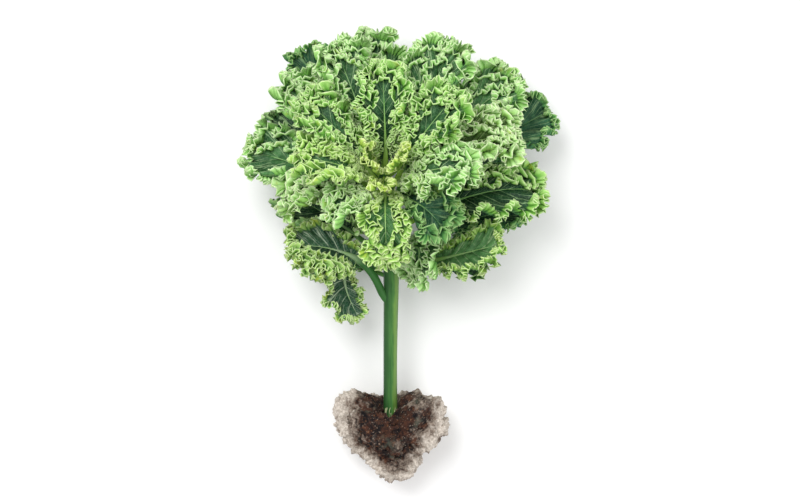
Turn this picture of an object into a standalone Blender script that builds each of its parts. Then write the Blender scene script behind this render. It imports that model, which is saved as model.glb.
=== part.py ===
"""A curly kale plant as it is pulled, lying on its side: stalk, frilled leaves and the soil at its foot.

The stalk lies along +Y, foot towards -Y, and its top bends up so that the rosette of leaves looks
upwards. Sizes are in millimetres up to the last step, which turns them into metres. Y is measured
from the neck, where the stalk goes into the leaves, and Z from the surface that the plant lies on.
Every leaf is a thin sheet that grows along a bent midrib. Its margin is waved, and each of its side
veins is as long as the space round its own midrib allows, so that neighbouring leaves stay apart.
"""

import math
from dataclasses import dataclass

import bmesh
import bpy
import numpy as np
from mathutils import Matrix, Vector, noise

MM = 0.001

# Stalk: centre line (x, y, z) and radius at each point, from the foot to the growing point
STALK = (
    (-1, -184, 47, 6.0),
    (-1, -150, 49, 6.8),
    (-1, -85, 52, 6.8),
    (0, -20, 55, 7.6),
    (0, 30, 64, 8.4),
    (-4, 66, 82, 7.6),
    (-6, 86, 104, 6.4),
    (-7, 93, 118, 4.0),
)
STALK_SAMPLES = 20
STALK_GAP = 0.5

# Rosette: where it looks, and how far off is the point that all upper faces look at
ROSETTE_AXIS = np.array((0.0, 0.5, 0.866))
ROSETTE_FOCUS = 300.0

# Leaf sheet
BLADE_THICKNESS = 0.9
RIB_THICKNESS = 5.2
RIB_THICKNESS_AT_TIP = 1.4
PETIOLE_HALF_WIDTH = 3.0
PETIOLE_COLUMNS = 2
COLUMNS_PER_WAVE = 3
WAVE_LENGTH = 6.5
FEWEST_WAVES = 3
RINGS = (0.0, 0.5, 1.0)
MIDRIB_END = 0.8
VEIN_SLANT = 1.6
MARGIN_ROUNDNESS = 0.6
FRILL = 10.0
FRILL_GROWTH = 1.5
LOBE = 0.10
FOLD = 0.30
SPINE_SAMPLES = 28

# How low the middle of a sheet may lie over the surface, so that the soil's flat spot is lowest
LEAF_FLOOR = 0.9

# Space between leaves, and the steps in which a vein is shortened until it keeps that space
LEAF_GAP = 2.9
STALK_CLEARANCE = 2.0
SHORTEST_VEIN = 0.22
VEIN_STEPS = 27

# Soil
SOIL_CENTRE = (2.0, -168.0, 46.0)
SOIL_HALF = (50.0, 46.0, 46.0)
SOIL_TAPER = 0.36
SOIL_BLUNTNESS = 0.32
SOIL_TOP = -128.0
SOIL_TOP_SLOPE = 12.0
SOIL_BOWL = 15.0
SOIL_BOWL_WIDTH = 16.0
SOIL_EDGE = 6.0
SOIL_LUMP = 13.0
SOIL_LUMP_SIZE = 34.0
SOIL_LUMP_SHARES = (1.0, 0.45, 0.22)
SOIL_FLAT = 3.0
SOIL_HOLE_GAP = 0.4

# Finishes: base colour and roughness
FINISHES = {
    "leaf_green": ((0.16, 0.36, 0.10), 0.55),
    "leaf_dark": ((0.06, 0.20, 0.08), 0.55),
    "leaf_heart": ((0.42, 0.60, 0.12), 0.5),
    "stalk": ((0.15, 0.36, 0.10), 0.42),
    "soil": ((0.12, 0.06, 0.04), 0.95),
}


@dataclass(frozen=True)
class Leaf:
    """A leaf: the height on the stalk where it grows, the point that pulls its bend, and its tip."""

    name: str
    root: float
    bend: tuple
    tip: tuple
    half_width: float = 40.0
    petiole: float = 0.36
    finish: str = "leaf_green"
    stoutness: float = 1.0

    @property
    def petiole_half_width(self):
        """Half the width of the leaf stalk."""
        return PETIOLE_HALF_WIDTH * self.stoutness


LEAVES = (
    # Outer leaves, clockwise from the lowest on the left
    Leaf("leaf_low_left", -42, (-12, 22, 62), (-106, 20, 82), 50, 0.42, stoutness=1.5),
    Leaf("leaf_hanging", -4, (-72, 14, 56), (-31, -56, 62), 28, 0.44),
    Leaf("leaf_left_droop", 28, (-76, 98, 134), (-104, 64, 88), 40, 0.24),
    Leaf("leaf_left", 40, (-80, 108, 92), (-145, 113, 66), 45, 0.24),
    Leaf("leaf_upper_left", 58, (-60, 132, 92), (-106, 188, 78), 40, 0.22),
    Leaf("leaf_top_left_back", 50, (-48, 142, 54), (-96, 218, 48), 41, 0.30, "leaf_dark"),
    Leaf("leaf_top_left", 74, (-30, 160, 120), (-58, 220, 104), 39, 0.20),
    Leaf("leaf_top", 62, (-12, 160, 76), (-26, 236, 62), 37, 0.24),
    Leaf("leaf_top_right", 70, (32, 158, 114), (62, 221, 94), 42, 0.20),
    Leaf("leaf_right_upper", 56, (62, 148, 84), (128, 187, 66), 40, 0.22),
    Leaf("leaf_right_back", 44, (84, 118, 52), (162, 157, 44), 41, 0.30, "leaf_dark"),
    Leaf("leaf_right_arch", 62, (76, 142, 142), (124, 120, 96), 40, 0.22),
    Leaf("leaf_right", 36, (84, 84, 112), (151, 74, 80), 44, 0.22),
    Leaf("leaf_right_low", 20, (70, 48, 54), (134, 56, 46), 38, 0.26, "leaf_dark"),
    Leaf("leaf_low_right", -6, (52, 6, 66), (114, 22, 88), 38, 0.34),
    Leaf("leaf_low_middle", 8, (42, 36, 112), (20, -16, 84), 30, 0.30),
    # Inner leaves, which stand up towards the light
    Leaf("leaf_inner_upper_left", 78, (-46, 134, 144), (-88, 164, 126), 38, 0.16),
    Leaf("leaf_inner_left", 82, (-50, 106, 160), (-94, 102, 142), 36, 0.14, "leaf_heart"),
    Leaf("leaf_inner_up", 88, (-6, 146, 156), (-8, 198, 138), 31, 0.12),
    Leaf("leaf_inner_upper_right", 86, (34, 134, 158), (66, 168, 138), 36, 0.14),
    Leaf("leaf_inner_right", 84, (44, 98, 168), (84, 96, 146), 36, 0.14, "leaf_heart"),
    Leaf("leaf_inner_low_right", 74, (38, 62, 150), (52, 32, 120), 34, 0.16),
    Leaf("leaf_inner_down", 80, (-6, 54, 176), (-4, 2, 122), 25, 0.14, "leaf_heart"),
    Leaf("leaf_inner_low_left", 76, (-46, 70, 154), (-60, 50, 126), 32, 0.16),
    # Heart
    Leaf("leaf_heart_left", 91, (-16, 98, 150), (-30, 112, 170), 17, 0.14, "leaf_heart"),
    Leaf("leaf_heart_right", 91, (4, 96, 150), (16, 106, 176), 17, 0.14, "leaf_heart"),
    Leaf("leaf_heart_down", 90, (-8, 80, 148), (-8, 72, 176), 15, 0.14, "leaf_heart"),
    # Leaves underneath, pressed against the surface
    Leaf("leaf_under_left", 6, (-60, 52, 26), (-112, 76, 8), 40, 0.28, "leaf_dark"),
    Leaf("leaf_under_upper_left", 34, (-60, 112, 24), (-122, 158, 8), 41, 0.28, "leaf_dark"),
    Leaf("leaf_under_top_left", 44, (-26, 142, 26), (-44, 206, 8), 38, 0.28, "leaf_dark"),
    Leaf("leaf_under_top_right", 46, (22, 142, 26), (44, 206, 8), 38, 0.28, "leaf_dark"),
    Leaf("leaf_under_upper_right", 32, (62, 114, 20), (120, 164, 8), 38, 0.28, "leaf_dark"),
    Leaf("leaf_under_right", 4, (66, 58, 20), (132, 88, 8), 38, 0.28, "leaf_dark"),
    Leaf("leaf_under_low_right", -10, (44, 8, 30), (92, 12, 8), 38, 0.28, "leaf_dark"),
    Leaf("leaf_under_low_left", -14, (-40, 6, 30), (-78, 2, 8), 36, 0.28, "leaf_dark"),
)


def smooth_path(points, count):
    """A Catmull-Rom curve through the points, as evenly counted samples."""
    points = np.array(points, float)
    ends = np.vstack((2 * points[0] - points[1], points, 2 * points[-1] - points[-2]))
    places = np.linspace(0, len(points) - 1, count)
    samples = []
    for place in places:
        i = min(int(place), len(points) - 2)
        t = place - i
        a, b, c, d = ends[i : i + 4]
        samples.append(
            0.5 * (2 * b + (c - a) * t + (2 * a - 5 * b + 4 * c - d) * t**2)
            + 0.5 * (3 * b - a - 3 * c + d) * t**3
        )
    return np.array(samples)


def unit(vectors):
    """The vectors, each at length 1."""
    return vectors / np.linalg.norm(vectors, axis=-1, keepdims=True)


class Spine:
    """A leaf's midrib in space, with the direction that its upper face looks in at each point."""

    def __init__(self, leaf, stalk):
        centre = stalk[np.argmin(abs(stalk[:, 1] - leaf.root))]
        beside = stalk[np.argmin(abs(stalk[:, 1] - leaf.root)) - 1]
        along_stalk = unit(centre[:3] - beside[:3])
        away = np.array(leaf.bend, float) - centre[:3]
        away = unit(away - (away @ along_stalk) * along_stalk)
        heading = unit(np.array(leaf.bend, float) - centre[:3])
        slope = math.sqrt(1 - (heading @ away) ** 2)
        root = centre[:3] + away * (centre[3] + STALK_GAP + leaf.petiole_half_width * slope)
        t = np.linspace(0, 1, SPINE_SAMPLES)[:, None]
        bend, tip = np.array(leaf.bend, float), np.array(leaf.tip, float)
        self.points = (1 - t) ** 2 * root + 2 * t * (1 - t) * bend + t**2 * tip
        steps = np.linalg.norm(np.diff(self.points, axis=0), axis=1)
        self.places = np.concatenate(((0,), np.cumsum(steps)))
        self.length = self.places[-1]
        tangents = unit(np.gradient(self.points, axis=0))
        focus = stalk[-1, :3] + ROSETTE_AXIS * ROSETTE_FOCUS
        facing = unit(focus - self.points)
        facing = facing - (facing * tangents).sum(1, keepdims=True) * tangents
        self.normals = unit(facing)
        self.sides = np.cross(tangents, self.normals)

    def at(self, along):
        """Point, side and normal at each distance along the midrib."""
        columns = [self.points, self.sides, self.normals]
        return [
            np.stack([np.interp(along, self.places, c[:, k]) for k in range(3)], -1)
            for c in columns
        ]


def leaf_columns(leaf, length):
    """For each side vein, from the left of the root round the tip to the right of it: where it
    leaves the midrib, where it meets the margin, how far to the side that is, and the wave there."""
    blade_start = leaf.petiole * length
    blade = length - blade_start
    petiole = np.linspace(0, 1, PETIOLE_COLUMNS + 1) * blade_start
    waves = max(FEWEST_WAVES, round(leaf.half_width / WAVE_LENGTH))
    wave_count = np.arange(1, waves * COLUMNS_PER_WAVE + 1) / COLUMNS_PER_WAVE
    turn = wave_count / waves
    angle = math.pi * (1 - turn)
    leaves_rib = blade_start + blade * MIDRIB_END * turn**VEIN_SLANT
    meets_margin = blade_start + blade * (1 + np.cos(angle)) / 2
    reach = leaf.half_width * np.sin(angle) ** MARGIN_ROUNDNESS
    reach = reach * (1 + LOBE * np.cos(2 * math.pi * wave_count))
    reach[:-1] = np.maximum(reach[:-1], leaf.petiole_half_width)
    root = np.concatenate((petiole, leaves_rib))
    margin = np.concatenate((petiole, meets_margin))
    across = np.concatenate((np.full(len(petiole), leaf.petiole_half_width), reach))
    wave = np.concatenate((np.zeros(len(petiole)), wave_count))
    return (
        np.concatenate((root, root[-2::-1])),
        np.concatenate((margin, margin[-2::-1])),
        np.concatenate((-across, across[-2::-1])),
        np.concatenate((wave, 2 * waves - wave[-2::-1])),
    )


def sheet_points(leaf, spine, shares, phase):
    """The leaf's sheet as points[vein, ring], with each vein at its share of its full length."""
    root, margin, across, wave = leaf_columns(leaf, spine.length)
    rings = np.array(RINGS)
    along = root[:, None] + (margin - root)[:, None] * rings
    centre, side, normal = spine.at(along)
    width = (across * shares)[:, None] * rings
    in_blade = (wave > 0) * np.clip(abs(margin - leaf.petiole * spine.length) / 12, 0.3, 1)
    frill = FRILL * leaf.half_width / 40 * rings[None, :] ** FRILL_GROWTH
    ripple = frill * (in_blade * shares * np.sin(2 * math.pi * wave + phase))[:, None]
    rise = ripple + abs(width) * FOLD * rings
    points = centre + side * (width * math.cos(FOLD))[..., None] + normal * rise[..., None]
    points[..., 2] = np.maximum(points[..., 2], LEAF_FLOOR)
    return points


def vein_shares(leaf, spine, others, stalk, phase):
    """The share of its full length that each side vein has room for."""
    count = len(leaf_columns(leaf, spine.length)[0])
    best = np.full(count, SHORTEST_VEIN)
    for share in np.linspace(SHORTEST_VEIN, 1, VEIN_STEPS):
        points = sheet_points(leaf, spine, np.full(count, share), phase)[:, 1:]
        own = distance_to(points, spine.points)
        clear = own < distance_to(points, others) - LEAF_GAP
        clear &= distance_to(points, stalk[:, :3]) > stalk[:, 3].max() + STALK_CLEARANCE
        fits = clear.all(axis=1)
        best = np.where(fits & (best >= share - 1.5 / VEIN_STEPS), share, best)
    eased = np.convolve(np.pad(best, 1, mode="edge"), (0.25, 0.5, 0.25), mode="valid")
    return np.minimum(best, eased)


def distance_to(points, line):
    """How far each point is from the nearest point of a sampled line."""
    apart = points[..., None, :] - line
    return np.sqrt((apart**2).sum(-1)).min(-1)


def rib_thickness(leaf, spine):
    """The sheet's thickness at points[vein, ring]: a thick midrib that thins out along the leaf."""
    root, _, across, _ = leaf_columns(leaf, spine.length)
    along = root / spine.length
    rib = RIB_THICKNESS + (RIB_THICKNESS_AT_TIP - RIB_THICKNESS) * along**0.6
    rib = rib * min(1.0, leaf.half_width / 26) * leaf.stoutness
    rings = np.array(RINGS)
    beside = np.clip(1 - abs(across[:, None]) * rings / (2.2 * leaf.petiole_half_width), 0, 1)
    return BLADE_THICKNESS + (rib[:, None] - BLADE_THICKNESS) * beside


def material(name):
    """A plain finish for a node."""
    colour, roughness = FINISHES[name]
    made = bpy.data.materials.get(name) or bpy.data.materials.new(name)
    made.use_nodes = True
    shader = made.node_tree.nodes["Principled BSDF"]
    shader.inputs["Base Color"].default_value = (*colour, 1)
    shader.inputs["Roughness"].default_value = roughness
    shader.inputs["Metallic"].default_value = 0.0
    return made


def add_object(name, data, finish):
    """Puts a mesh or curve in the scene under its node's name."""
    made = bpy.data.objects.new(name, data)
    data.materials.append(material(finish))
    bpy.context.scene.collection.objects.link(made)
    return made


def build_leaf(leaf, spine, shares, phase):
    """A leaf as a sheet with a Solidify that is thick along the midrib."""
    points = sheet_points(leaf, spine, shares, phase)
    thickness = rib_thickness(leaf, spine)
    thickest = thickness.max()
    columns, rings = points.shape[:2]
    sheet = bmesh.new()
    bmesh.ops.create_grid(sheet, x_segments=columns - 1, y_segments=rings - 1, size=1)
    weights = sheet.verts.layers.deform.verify()
    for vertex in sheet.verts:
        column = round((vertex.co.x + 1) / 2 * (columns - 1))
        ring = round((vertex.co.y + 1) / 2 * (rings - 1))
        vertex.co = Vector(points[column, ring]) * MM
        vertex[weights][0] = thickness[column, ring] / thickest
    bmesh.ops.remove_doubles(sheet, verts=sheet.verts, dist=0.01 * MM)
    bmesh.ops.triangulate(sheet, faces=sheet.faces, quad_method="SHORT_EDGE")
    data = bpy.data.meshes.new(leaf.name)
    sheet.to_mesh(data)
    sheet.free()
    made = add_object(leaf.name, data, leaf.finish)
    made.vertex_groups.new(name="thickness")
    solid = made.modifiers.new("Thickness", "SOLIDIFY")
    solid.thickness = thickest * MM
    solid.offset = 0
    solid.vertex_group = "thickness"
    solid.thickness_vertex_group = 0
    data.shade_smooth()
    return made


def build_stalk(stalk):
    """The stalk: a tapering tube along its centre line."""
    data = bpy.data.curves.new("stalk", "CURVE")
    data.dimensions = "3D"
    data.bevel_depth = MM
    data.bevel_resolution = 3
    data.use_fill_caps = True
    line = data.splines.new("POLY")
    line.points.add(len(stalk) - 1)
    for point, (x, y, z, radius) in zip(line.points, stalk):
        point.co = (x * MM, y * MM, z * MM, 1)
        point.radius = radius
    return add_object("stalk", data, "stalk")


def soil_point(direction):
    """The place in the lump of soil of a point on the unit sphere."""
    x, y, z = direction
    spread = (1 + SOIL_TAPER * y) / max(math.hypot(x, z), 0.05) ** SOIL_BLUNTNESS
    place = Vector(
        (
            SOIL_CENTRE[0] + SOIL_HALF[0] * x * spread,
            SOIL_CENTRE[1] + SOIL_HALF[1] * y,
            SOIL_CENTRE[2] + SOIL_HALF[2] * z * spread,
        )
    )
    lump = sum(noise.noise(place / (SOIL_LUMP_SIZE * share)) * share for share in SOIL_LUMP_SHARES)
    front = (place.z - SOIL_CENTRE[2]) / SOIL_HALF[2]
    aside = (place.x - STALK[0][0]) / SOIL_BOWL_WIDTH
    bowl = SOIL_BOWL * math.exp(-(aside**2) / 2)
    top = SOIL_TOP - SOIL_TOP_SLOPE * front - bowl + SOIL_LUMP * lump
    place += Vector(direction) * SOIL_LUMP * lump
    place.y = top - SOIL_EDGE * math.log1p(math.exp((top - place.y) / SOIL_EDGE))
    return place


def build_soil(stalk):
    """The lump of soil: a lumpy, tapering ball, flat where it lies, with a hole for the stalk."""
    ball = bmesh.new()
    bmesh.ops.create_icosphere(ball, subdivisions=4, radius=1)
    for vertex in ball.verts:
        vertex.co = soil_point(vertex.co.copy()) * MM
    below = bmesh.ops.bisect_plane(
        ball,
        geom=ball.verts[:] + ball.edges[:] + ball.faces[:],
        plane_co=(0, 0, SOIL_FLAT * MM),
        plane_no=(0, 0, -1),
        clear_outer=True,
    )
    cut = [e for e in below["geom_cut"] if isinstance(e, bmesh.types.BMEdge)]
    bmesh.ops.contextual_create(ball, geom=cut)
    bmesh.ops.translate(ball, verts=ball.verts, vec=(0, 0, -SOIL_FLAT * MM))
    bmesh.ops.triangulate(ball, faces=ball.faces)
    data = bpy.data.meshes.new("soil")
    ball.to_mesh(data)
    ball.free()
    made = add_object("soil", data, "soil")
    cutter = build_stalk(widened(stalk, SOIL_HOLE_GAP))
    cutter_mesh = bpy.data.meshes.new_from_object(cutter)
    cutter_curve = cutter.data
    bpy.data.objects.remove(cutter)
    bpy.data.curves.remove(cutter_curve)
    hole = bpy.data.objects.new("stalk_hole", cutter_mesh)
    bpy.context.scene.collection.objects.link(hole)
    hole.hide_render = True
    hole.display_type = "WIRE"
    drill = made.modifiers.new("Hole", "BOOLEAN")
    drill.operation = "DIFFERENCE"
    drill.object = hole
    return made


def widened(stalk, gap):
    """The stalk's line with a larger radius and a deeper foot, for the hole that it stands in."""
    line = stalk.copy()
    line[:, 3] += gap
    line[0, 1] -= 2 * gap
    return line


def centre_on_origin():
    """Moves everything so that the origin is under the middle of the whole plant's box."""
    bpy.context.view_layer.update()
    graph = bpy.context.evaluated_depsgraph_get()
    low, high = np.full(3, np.inf), np.full(3, -np.inf)
    for made in bpy.context.scene.collection.objects:
        if made.hide_render:
            continue
        mesh = made.evaluated_get(graph).to_mesh()
        corners = np.array([vertex.co for vertex in mesh.vertices])
        low, high = np.minimum(low, corners.min(0)), np.maximum(high, corners.max(0))
    shift = Matrix.Translation((-(low[0] + high[0]) / 2, -(low[1] + high[1]) / 2, -low[2]))
    for made in bpy.context.scene.collection.objects:
        made.data.transform(shift)


def main():
    """Builds the plant."""
    for old in list(bpy.data.objects):
        bpy.data.objects.remove(old)
    stalk = smooth_path(STALK, STALK_SAMPLES)
    fine_stalk = smooth_path(STALK, 10 * STALK_SAMPLES)
    spines = [Spine(leaf, fine_stalk) for leaf in LEAVES]
    build_stalk(stalk)
    for index, (leaf, spine) in enumerate(zip(LEAVES, spines)):
        others = np.vstack([s.points for s in spines if s is not spine])
        phase = index * 2.4
        shares = vein_shares(leaf, spine, others, fine_stalk, phase)
        build_leaf(leaf, spine, shares, phase)
    build_soil(stalk)
    centre_on_origin()


main()
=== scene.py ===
"""A curly kale plant, laid on its side: the looks of its leaves, its stalk and the soil at its foot.

Lengths are in millimetres, in the plant's own place: X to the right, Y from the neck towards the
leaf tips and Z up from the surface. The last step of each piece turns it into metres and shifts it
to where the frame's stalk is. Each leaf is a fine sheet along a bent midrib. Its margin is rippled
by waves of several sizes, each of which rides on the one before, as in a real curled leaf.
"""

import logging
import math
from dataclasses import dataclass
from enum import Enum

import bmesh
import bpy
import numpy as np
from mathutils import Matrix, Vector, noise


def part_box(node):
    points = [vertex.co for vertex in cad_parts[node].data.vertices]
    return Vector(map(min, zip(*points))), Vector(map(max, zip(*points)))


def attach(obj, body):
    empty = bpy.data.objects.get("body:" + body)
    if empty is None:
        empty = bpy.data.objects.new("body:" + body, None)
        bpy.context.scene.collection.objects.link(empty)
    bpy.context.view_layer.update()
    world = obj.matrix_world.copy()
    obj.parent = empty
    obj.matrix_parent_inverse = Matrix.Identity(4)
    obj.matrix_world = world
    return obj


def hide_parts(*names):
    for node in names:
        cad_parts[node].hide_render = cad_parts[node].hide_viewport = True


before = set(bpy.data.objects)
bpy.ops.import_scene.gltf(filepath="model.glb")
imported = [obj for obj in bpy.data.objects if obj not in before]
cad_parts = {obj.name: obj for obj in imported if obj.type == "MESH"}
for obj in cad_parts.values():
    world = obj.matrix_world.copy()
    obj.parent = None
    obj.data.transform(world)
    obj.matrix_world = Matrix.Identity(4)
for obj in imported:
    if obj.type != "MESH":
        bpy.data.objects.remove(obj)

MM = 0.001
LEAF_MAP = "Leaf"
LOG = logging.getLogger("kale")

Array = np.ndarray
Mesh = bpy.types.Mesh
Material = bpy.types.Material
Socket = bpy.types.NodeSocket
Point = tuple[float, float, float]
Colour = tuple[float, float, float]


class LeafTone(Enum):
    """How a leaf is coloured."""

    FRESH = "fresh"
    PALE = "pale"
    DEEP = "deep"
    LIME = "lime"
    VEINED = "veined"
    OLIVE = "olive"
    HEART = "heart"
    UNDER = "under"


@dataclass(frozen=True)
class Leaf:
    """A leaf: where it grows on the stalk, the point that pulls its bend, and its tip.

    curl is the depth of its frill from the flat blade to the rim, rows says where rows of
    curls stand on the blade, as shares of the way from the midrib to the frill, and stoutness
    thickens its leaf stalk. bare is the side of the midrib that has no rows, -1 for the left
    and 1 for the right, and lift is the angle to which the frill turns up, in degrees.
    """

    name: str
    root: float
    bend: Point
    tip: Point
    half_width: float
    petiole: float
    slot: str = "leaf_green"
    tone: LeafTone = LeafTone.FRESH
    curl: float = 15.0
    rows: tuple[float, ...] = (0.45, 0.85)
    stoutness: float = 1.0
    bare: int = 0
    lift: float = 72.0


LEAVES: tuple[Leaf, ...] = (
    # Outer leaves, clockwise from the lowest on the left
    Leaf("leaf_low_left", -42, (-12, 22, 62), (-106, 20, 82), 50, 0.42,
         tone=LeafTone.VEINED, curl=11, rows=(0.55, 0.95), stoutness=1.5, bare=1, lift=45),
    Leaf("leaf_hanging", -4, (-72, 14, 56), (-31, -56, 62), 28, 0.44, tone=LeafTone.VEINED,
         curl=5.5, rows=(), lift=50),
    Leaf("leaf_left_droop", 28, (-76, 98, 134), (-104, 64, 88), 40, 0.24, tone=LeafTone.OLIVE,
         curl=14, rows=(0.35, 0.75)),
    Leaf("leaf_left", 40, (-80, 108, 92), (-145, 113, 66), 45, 0.24, tone=LeafTone.PALE,
         curl=10, rows=(0.5, 0.95), bare=-1),
    Leaf("leaf_upper_left", 58, (-60, 132, 92), (-106, 188, 78), 40, 0.22, tone=LeafTone.PALE,
         curl=14, rows=(0.45, 0.8, 0.97)),
    Leaf("leaf_top_left_back", 50, (-48, 142, 54), (-96, 218, 48), 41, 0.30, "leaf_dark",
         LeafTone.DEEP, 8, ()),
    Leaf("leaf_top_left", 74, (-30, 160, 120), (-58, 220, 104), 39, 0.20, tone=LeafTone.PALE,
         curl=14, rows=(0.6, 0.95)),
    Leaf("leaf_top", 62, (-12, 160, 76), (-26, 236, 62), 37, 0.24, tone=LeafTone.PALE),
    Leaf("leaf_top_right", 70, (32, 158, 114), (62, 221, 94), 42, 0.20, tone=LeafTone.PALE,
         curl=13, rows=(0.5, 0.92)),
    Leaf("leaf_right_upper", 56, (62, 148, 84), (128, 187, 66), 40, 0.22, tone=LeafTone.PALE,
         curl=14),
    Leaf("leaf_right_back", 44, (84, 118, 52), (162, 157, 44), 41, 0.30, "leaf_dark",
         LeafTone.DEEP, 6, ()),
    Leaf("leaf_right_arch", 62, (76, 142, 142), (124, 120, 96), 40, 0.22, tone=LeafTone.OLIVE,
         curl=10, rows=(0.35, 0.65, 0.92)),
    Leaf("leaf_right", 36, (84, 84, 112), (151, 74, 80), 44, 0.22, curl=11, rows=(0.45, 0.9),
         bare=1, lift=60),
    Leaf("leaf_right_low", 20, (70, 48, 54), (134, 56, 46), 38, 0.26, "leaf_dark",
         LeafTone.DEEP, 8, ()),
    Leaf("leaf_low_right", -6, (52, 6, 66), (114, 22, 88), 38, 0.34,
         tone=LeafTone.LIME, curl=8, rows=(), lift=50),
    Leaf("leaf_low_middle", 8, (42, 36, 112), (20, -16, 84), 30, 0.30, tone=LeafTone.PALE,
         curl=14, rows=(0.4, 0.75), lift=65),
    # Inner leaves, which stand up towards the light
    Leaf("leaf_inner_upper_left", 78, (-46, 134, 144), (-88, 164, 126), 38, 0.16, curl=13,
         rows=(0.6, 0.95)),
    Leaf("leaf_inner_left", 82, (-50, 106, 160), (-94, 102, 142), 36, 0.14, "leaf_heart",
         LeafTone.LIME, 9, (0.5, 0.72, 0.95)),
    Leaf("leaf_inner_up", 88, (-6, 146, 156), (-8, 198, 138), 31, 0.12, curl=12,
         rows=(0.65, 0.95)),
    Leaf("leaf_inner_upper_right", 86, (34, 134, 158), (66, 168, 138), 36, 0.14, curl=13,
         rows=(0.6, 0.95)),
    Leaf("leaf_inner_right", 84, (44, 98, 168), (84, 96, 146), 36, 0.14, "leaf_heart",
         LeafTone.PALE, 13, (0.6, 0.95)),
    Leaf("leaf_inner_low_right", 74, (38, 62, 150), (52, 32, 120), 34, 0.16,
         tone=LeafTone.DEEP, curl=11, rows=(0.9,)),
    Leaf("leaf_inner_down", 80, (-6, 54, 176), (-4, 2, 122), 25, 0.14, "leaf_heart",
         LeafTone.LIME, 12, (0.55, 0.95)),
    Leaf("leaf_inner_low_left", 76, (-46, 70, 154), (-60, 50, 126), 32, 0.16, tone=LeafTone.PALE,
         curl=9, rows=(0.5, 0.72, 0.95)),
    # Heart
    *(
        Leaf(f"leaf_heart_{side}", root, bend, tip, half_width, 0.14, "leaf_heart",
             LeafTone.HEART, 5, ())
        for side, root, bend, tip, half_width in (
            ("left", 91, (-16, 98, 150), (-30, 112, 170), 17),
            ("right", 91, (4, 96, 150), (16, 106, 176), 17),
            ("down", 90, (-8, 80, 148), (-8, 72, 176), 15),
        )
    ),
    # Leaves underneath, pressed against the surface
    *(
        Leaf(f"leaf_under_{side}", root, bend, tip, half_width, 0.28, "leaf_dark",
             LeafTone.UNDER, 9, ())
        for side, root, bend, tip, half_width in (
            ("left", 6, (-60, 52, 26), (-112, 76, 8), 40),
            ("upper_left", 34, (-60, 112, 24), (-122, 158, 8), 41),
            ("top_left", 44, (-26, 142, 26), (-44, 206, 8), 38),
            ("top_right", 46, (22, 142, 26), (44, 206, 8), 38),
            ("upper_right", 32, (62, 114, 20), (120, 164, 8), 38),
            ("right", 4, (66, 58, 20), (132, 88, 8), 38),
            ("low_right", -10, (44, 8, 30), (92, 12, 8), 38),
            ("low_left", -14, (-40, 6, 30), (-78, 2, 8), 36),
        )
    ),
)


def unit(vectors: Array) -> Array:
    """The vectors, each at length 1."""
    lengths = np.linalg.norm(vectors, axis=-1, keepdims=True)
    return vectors / np.maximum(lengths, 1e-9)


def distance_to(points: Array, line: Array) -> Array:
    """How far each point is from the nearest point of a sampled line."""
    apart = points[..., None, :] - line
    return np.sqrt((apart**2).sum(-1)).min(-1)


def plain_map(columns: int, rings: int) -> Array:
    """A map that runs from 0 to 1 along the columns and round the rings."""
    u, v = np.meshgrid(np.linspace(0, 1, columns), np.linspace(0, 1, rings), indexing="ij")
    return np.stack((u, v), -1)


def smooth_path(points: tuple[tuple[float, ...], ...], count: int) -> Array:
    """A Catmull-Rom curve through the points.

    Args:
        points: The points that the curve goes through.
        count: How many samples to return.

    Returns:
        The samples, evenly counted from point to point.
    """
    given = np.array(points, float)
    ends = np.vstack((2 * given[0] - given[1], given, 2 * given[-1] - given[-2]))
    samples = []
    for place in np.linspace(0, len(given) - 1, count):
        i = min(int(place), len(given) - 2)
        t = place - i
        a, b, c, d = ends[i : i + 4]
        samples.append(
            0.5 * (2 * b + (c - a) * t + (2 * a - 5 * b + 4 * c - d) * t**2)
            + 0.5 * (3 * b - a - 3 * c + d) * t**3
        )
    return np.array(samples)


def smooth_noise(count: int, cell: float, seed: int) -> Array:
    """Seeded noise along a line.

    Args:
        count: How many samples to return.
        cell: How many samples lie from one random value to the next.
        seed: The seed of the random values.

    Returns:
        Values from -1 to 1, eased from one random value to the next.
    """
    values = np.random.default_rng(seed).uniform(-1, 1, int(count / cell) + 3)
    places = np.arange(count) / cell
    low = places.astype(int)
    share = places - low
    share = share * share * (3 - 2 * share)
    return values[low] * (1 - share) + values[low + 1] * share


def write_shape(shape: bmesh.types.BMesh, data: Mesh) -> None:
    """Writes a shape into a mesh and frees the shape."""
    shape.to_mesh(data)
    shape.free()


def joined(name: str, parts: list[Mesh]) -> Mesh:
    """Joins meshes into a new one and removes them.

    Args:
        name: The new mesh's name.
        parts: The meshes.

    Returns:
        The new mesh.
    """
    whole = bmesh.new()
    for part in parts:
        whole.from_mesh(part)
        bpy.data.meshes.remove(part)
    data = bpy.data.meshes.new(name)
    write_shape(whole, data)
    return data


def linked(name: str, data: bpy.types.ID) -> bpy.types.Object:
    """Puts an object in the scene.

    Args:
        name: The object's name.
        data: Its mesh, lamp or camera.

    Returns:
        The object.
    """
    made = bpy.data.objects.new(name, data)
    bpy.context.scene.collection.objects.link(made)
    return made


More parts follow.
